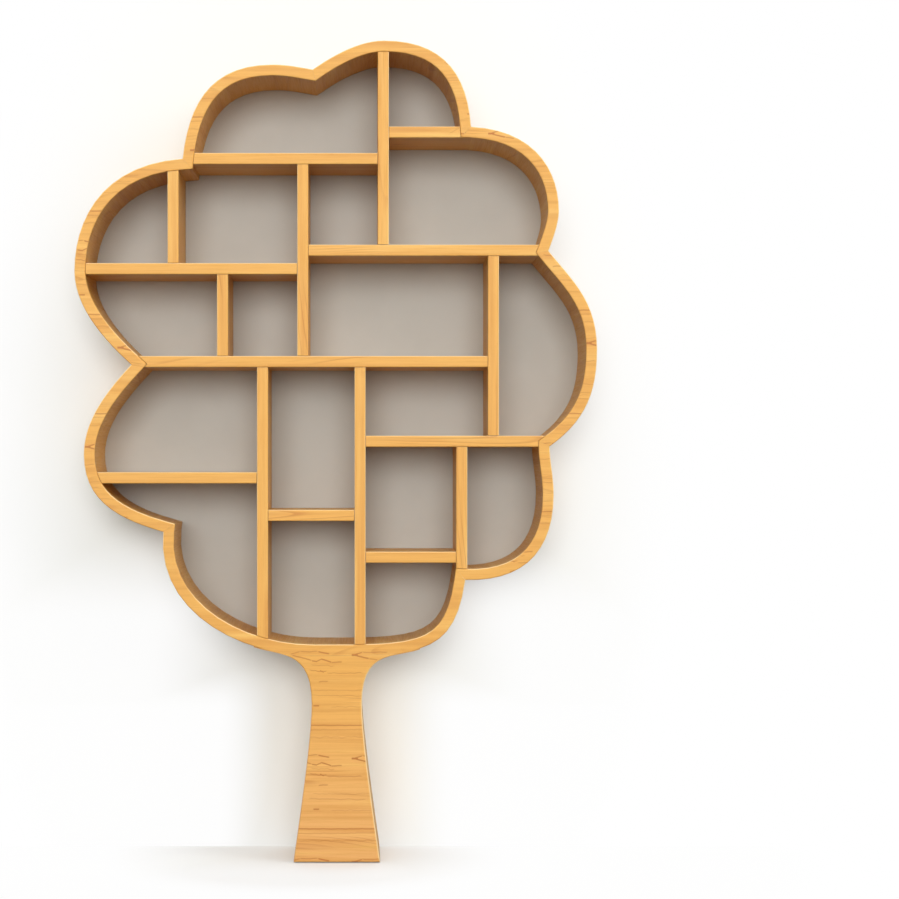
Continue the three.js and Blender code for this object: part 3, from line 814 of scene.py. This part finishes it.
def finish_all_edges():
    fronts = face_tree(LOBES + ["trunk_front"])
    rounded = LOBES + SHELVES + DIVIDERS + ["trunk_front", "trunk_back"]
    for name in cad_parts:
        finish_edges(name, fronts if name in rounded else None)


finish_all_edges()


# Small screws in the back sheets, and the rail's screws in full

screw_sides = 32
head_steps = 14
rim_share = 0.97
rim_drop_share = 0.4
point_share = 0.1

# The cross in a screw's head, as shares of the head's radius
cross_arm = 0.62
cross_half_width = 0.13
cross_slope = 0.10
cross_depth = 0.42
cross_rise = 0.45


def recess_depth(x, z, head_radius):
    """How deep the cross in a screw's head is at a place on the head."""
    arm = cross_arm * head_radius
    half_width = cross_half_width * head_radius
    slope = cross_slope * head_radius
    depth = 0.0
    for long, short in ((abs(x), abs(z)), (abs(z), abs(x))):
        inside = min(arm - long, half_width - short)
        share = min(max(inside / slope + 0.5, 0.0), 1.0)
        depth = max(depth, share * (1.0 - cross_rise * long / arm))
    return cross_depth * head_radius * depth


def screw_rings(head_radius, shank_radius, length, flange):
    """A screw's rings from its head's middle to its point, as radius and depth from the head."""
    rings = [(head_radius * step / head_steps * rim_share, 0.0) for step in range(1, head_steps + 1)]
    rings.append((head_radius, flange * rim_drop_share))
    rings.append((head_radius, flange))
    rings.append((shank_radius, head_radius - shank_radius + flange))
    rings.append((shank_radius, length - 2 * shank_radius))
    rings.append((shank_radius * point_share, length))
    return rings


def add_screw(shape, place, head_radius, shank_radius, length, flange, turn):
    """Adds a screw whose head looks to the rear, with the middle of the head at a place."""
    rings = screw_rings(head_radius, shank_radius, length, flange)
    middle = shape.verts.new((place.x, place.y - recess_depth(0, 0, head_radius), place.z))
    last = None
    for number, (radius, depth) in enumerate(rings):
        ring = []
        for side in range(screw_sides):
            angle = 2 * math.pi * side / screw_sides
            flat_x, flat_z = radius * math.cos(angle), radius * math.sin(angle)
            sunk = depth
            if number < head_steps:
                sunk = depth + recess_depth(flat_x, flat_z, head_radius)
            x = flat_x * math.cos(turn) - flat_z * math.sin(turn)
            z = flat_x * math.sin(turn) + flat_z * math.cos(turn)
            ring.append(shape.verts.new((place.x + x, place.y - sunk, place.z + z)))
        for side in range(screw_sides):
            following = (side + 1) % screw_sides
            if last is None:
                shape.faces.new((middle, ring[following], ring[side]))
            else:
                shape.faces.new((last[side], last[following], ring[following], ring[side]))
        last = ring
    shape.faces.new(last)


def finish_piece(name, shape, material):
    """Turns a shape into a piece of the root body."""
    bmesh.ops.recalc_face_normals(shape, faces=shape.faces)
    mesh = bpy.data.meshes.new(name)
    shape.to_mesh(mesh)
    shape.free()
    mesh.materials.append(material)
    piece = bpy.data.objects.new(name, mesh)
    bpy.context.scene.collection.objects.link(piece)
    shade = piece.modifiers.new("shade", "NODES")
    shade.node_group = shade_group
    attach(piece, "root")
    return piece


sheet_screw_radius = 3.5 * MM
sheet_screw_shank = 1.2 * MM
sheet_screw_length = 16 * MM
sheet_screw_flange = 0.5 * MM
sheet_screw_proud = 0.8 * MM
sheet_screw_spacing = 170 * MM
sheet_screw_margin = 45 * MM
sheet_screw_clear = 6 * MM
rail_screw_shank_share = 0.5
rail_screw_flange = 0.4 * MM
turn_step = 0.9


def board_screw_places():
    """Places of the screws that hold the back sheets to the boards."""
    places = []
    rail_low, rail_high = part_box("hanging_rail")
    sheet_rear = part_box("back_panel_upper")[1][1]
    for name in SHELVES + DIVIDERS:
        low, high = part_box(name)
        axis = 0 if name in SHELVES else 2
        run = high[axis] - low[axis] - 2 * sheet_screw_margin
        count = max(2, round(run / sheet_screw_spacing) + 1)
        for number in range(count):
            spot = [(low[side] + high[side]) / 2 for side in range(3)]
            spot[axis] = low[axis] + sheet_screw_margin + run * number / (count - 1)
            spot[1] = sheet_rear + sheet_screw_proud
            under_rail = all(
                rail_low[side] - sheet_screw_clear < spot[side] < rail_high[side] + sheet_screw_clear
                for side in (0, 2))
            if not under_rail:
                places.append(Vector(spot))
    return places


def build_sheet_screws():
    shape = bmesh.new()
    for number, place in enumerate(board_screw_places()):
        add_screw(shape, place, sheet_screw_radius, sheet_screw_shank, sheet_screw_length,
                  sheet_screw_flange, number * turn_step)
    finish_piece("back_sheet_screws", shape, steel)


def build_rail_screws():
    """Stands in for the rail's plain screws with screws that have a cross in the head."""
    for number, name in enumerate(RAIL_SCREWS):
        low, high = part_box(name)
        head_radius = (high[0] - low[0]) / 2
        place = Vector(((low[0] + high[0]) / 2, high[1], (low[2] + high[2]) / 2))
        shape = bmesh.new()
        shank_radius = head_radius * rail_screw_shank_share
        add_screw(shape, place, head_radius, shank_radius, high[1] - low[1], rail_screw_flange,
                  number * turn_step)
        piece = finish_piece(f"{name}_crossed", shape, steel)
        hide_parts(name)


build_sheet_screws()
build_rail_screws()


# Stage, lights and camera

stage_reach = 30.0
wall_gap = 1.5 * MM
wall_y = wall_plane + wall_gap
wall_colour = linear(246, 247, 242)
floor_colour = linear(245, 245, 242)
floor_for_light = linear(120, 118, 114)
white = (1.0, 1.0, 1.0, 1.0)

# Where the stage turns white: by the distance from a centre, each axis times its weight, the share of
# white runs from its first to its last value between the two distances of the reach. Where heights are
# given, the share fades out between them.
crown_share = {
    "centre": (-60 * MM, wall_y, 1100 * MM), "weights": (1.0, 1.0, 0.6),
    "reach": (0.45, 1.05), "shares": (0.0, 1.0), "heights": None,
}
trunk_share = {
    "centre": (0, wall_y, 400 * MM), "weights": (1.0, 1.0, 0.7),
    "reach": (0.18, 0.56), "shares": (0.10, 0.90), "heights": (0.62, 0.97),
}
beside_trunk_share = {
    "centre": (0, wall_y, 0), "weights": (1.0, 1.0, 0.0),
    "reach": (0.13, 0.34), "shares": (0.0, 0.95), "heights": (0.38, 0.58),
}
floor_far_share = {
    "centre": (45 * MM, 0, 0), "weights": (1.0, 1.0, 1.0),
    "reach": (0.45, 1.30), "shares": (0.0, 1.0), "heights": None,
}
floor_near_share = {
    "centre": (-90 * MM, 0, 0), "weights": (1.0, 1.0, 1.0),
    "reach": (0.18, 0.57), "shares": (0.0, 0.95), "heights": None,
}
floor_front_share = {
    "centre": (0, wall_y, 0), "weights": (0.0, 1.0, 0.0),
    "reach": (0.16, 0.42), "shares": (0.0, 0.60), "heights": None,
}
wall_fades = (crown_share, trunk_share, beside_trunk_share)
floor_fades = (floor_far_share, floor_near_share, floor_front_share)


def whiteness(tree, fades):
    """The share of plain white at each place of a stage sheet, the largest of its fades."""
    place = tree.nodes.new("ShaderNodeTexCoord").outputs["Object"]
    height = add(tree, "ShaderNodeSeparateXYZ", {0: place}).outputs["Z"]
    largest = 0.0
    for fade in fades:
        away = add(tree, "ShaderNodeVectorMath", {0: place, 1: fade["centre"]}, operation="SUBTRACT")
        weighted = scaled(tree, away.outputs[0], fade["weights"])
        distance = add(tree, "ShaderNodeVectorMath", {0: weighted}, operation="LENGTH").outputs["Value"]
        share = ramp(tree, distance, *fade["reach"], *fade["shares"])
        if fade["heights"]:
            share = maths(tree, "MULTIPLY", share, ramp(tree, height, *fade["heights"], 1.0, 0.0))
        largest = maths(tree, "MAXIMUM", largest, share)
    return largest


def stage_material(name, colour, light_colour, fades, one_sided):
    """A pale matt surface with more and more plain white in it, the farther from the object's middle."""
    material = bpy.data.materials.new(name)
    material.use_nodes = True
    tree = material.node_tree
    tree.nodes.clear()
    output = tree.nodes.new("ShaderNodeOutputMaterial")
    rays = tree.nodes.new("ShaderNodeLightPath")
    seen = rays.outputs["Is Camera Ray"]
    matt = add(tree, "ShaderNodeBsdfDiffuse", {"Color": colour})
    if light_colour is not None:
        tree.links.new(mix_colour(tree, seen, light_colour, colour), matt.inputs["Color"])
    fade = maths(tree, "MULTIPLY", whiteness(tree, fades), seen)
    bright = add(tree, "ShaderNodeEmission", {"Color": white, "Strength": 1.0})
    last = add(tree, "ShaderNodeMixShader", {0: fade, 1: matt.outputs[0], 2: bright.outputs[0]})
    if one_sided:
        sides = tree.nodes.new("ShaderNodeNewGeometry")
        in_front = maths(tree, "SUBTRACT", 1.0, sides.outputs["Backfacing"])
        shown = maths(tree, "MULTIPLY", in_front, seen)
        clear = tree.nodes.new("ShaderNodeBsdfTransparent")
        last = add(tree, "ShaderNodeMixShader", {0: shown, 1: clear.outputs[0], 2: last.outputs[0]})
    tree.links.new(last.outputs[0], output.inputs["Surface"])
    return material


def stage_sheet(name, corners, material):
    mesh = bpy.data.meshes.new(name)
    mesh.from_pydata(corners, [], [(0, 1, 2, 3)])
    mesh.materials.append(material)
    sheet = bpy.data.objects.new(name, mesh)
    bpy.context.scene.collection.objects.link(sheet)


def build_stage():
    reach = stage_reach
    floor_corners = [(-reach, -reach, 0), (reach, -reach, 0), (reach, reach, 0), (-reach, reach, 0)]
    wall_corners = [(-reach, wall_y, 0), (reach, wall_y, 0), (reach, wall_y, reach), (-reach, wall_y, reach)]
    floor = stage_material("floor_matt", floor_colour, floor_for_light, floor_fades, False)
    wall = stage_material("wall_matt", wall_colour, None, wall_fades, True)
    stage_sheet("floor", floor_corners, floor)
    stage_sheet("wall", wall_corners, wall)


ambient_rise = (-0.1, 0.5)
ambient_values = (0.03, 0.30)
sun_lamps = (
    # name, strength, angular size in degrees, azimuth it comes from, elevation
    ("key", 2.18, 40, -2, 6),
    ("top", 1.05, 100, 8, 50),
    ("right", 0.68, 30, 62, 20),
    ("rear_fill", 1.70, 80, 165, 25),
    ("left_fill", 0.90, 60, 245, 15),
)


def build_world():
    """White where it is seen, and otherwise a dim light that comes more from above."""
    world = bpy.data.worlds.new("studio")
    bpy.context.scene.world = world
    world.use_nodes = True
    tree = world.node_tree
    tree.nodes.clear()
    output = tree.nodes.new("ShaderNodeOutputWorld")
    rays = tree.nodes.new("ShaderNodeLightPath")
    seen = maths(tree, "MAXIMUM", rays.outputs["Is Camera Ray"], rays.outputs["Is Glossy Ray"])
    seen = maths(tree, "MAXIMUM", seen, rays.outputs["Is Transmission Ray"])
    where = tree.nodes.new("ShaderNodeTexCoord")
    direction = add(tree, "ShaderNodeSeparateXYZ", {0: where.outputs["Generated"]})
    strength = ramp(tree, direction.outputs[2], *ambient_rise, *ambient_values)
    dim = add(tree, "ShaderNodeBackground", {"Color": white, "Strength": strength})
    bright = add(tree, "ShaderNodeBackground", {"Color": white, "Strength": 1.0})
    blend = add(tree, "ShaderNodeMixShader", {0: seen, 1: dim.outputs[0], 2: bright.outputs[0]})
    tree.links.new(blend.outputs[0], output.inputs["Surface"])


def build_lamps():
    """Soft suns. Azimuth 0 shines from the front, 90 from the right."""
    for name, strength, size, azimuth, elevation in sun_lamps:
        data = bpy.data.lights.new(name, "SUN")
        data.energy = strength
        data.angle = math.radians(size)
        lamp = bpy.data.objects.new(name, data)
        around, up = math.radians(azimuth), math.radians(elevation)
        toward = Vector((math.sin(around) * math.cos(up), -math.cos(around) * math.cos(up), math.sin(up)))
        lamp.rotation_euler = toward.to_track_quat("Z", "Y").to_euler()
        bpy.context.scene.collection.objects.link(lamp)


def build_camera():
    data = bpy.data.cameras.new("camera")
    data.lens = camera_lens
    data.sensor_width = camera_sensor
    data.shift_x, data.shift_y = camera_shift
    camera = bpy.data.objects.new("camera", data)
    camera.location = camera_place
    camera.rotation_euler = (math.radians(90), 0, 0)
    bpy.context.scene.collection.objects.link(camera)
    bpy.context.scene.camera = camera


build_stage()
build_world()
build_lamps()
build_camera()
bpy.context.scene.view_settings.view_transform = "Standard"
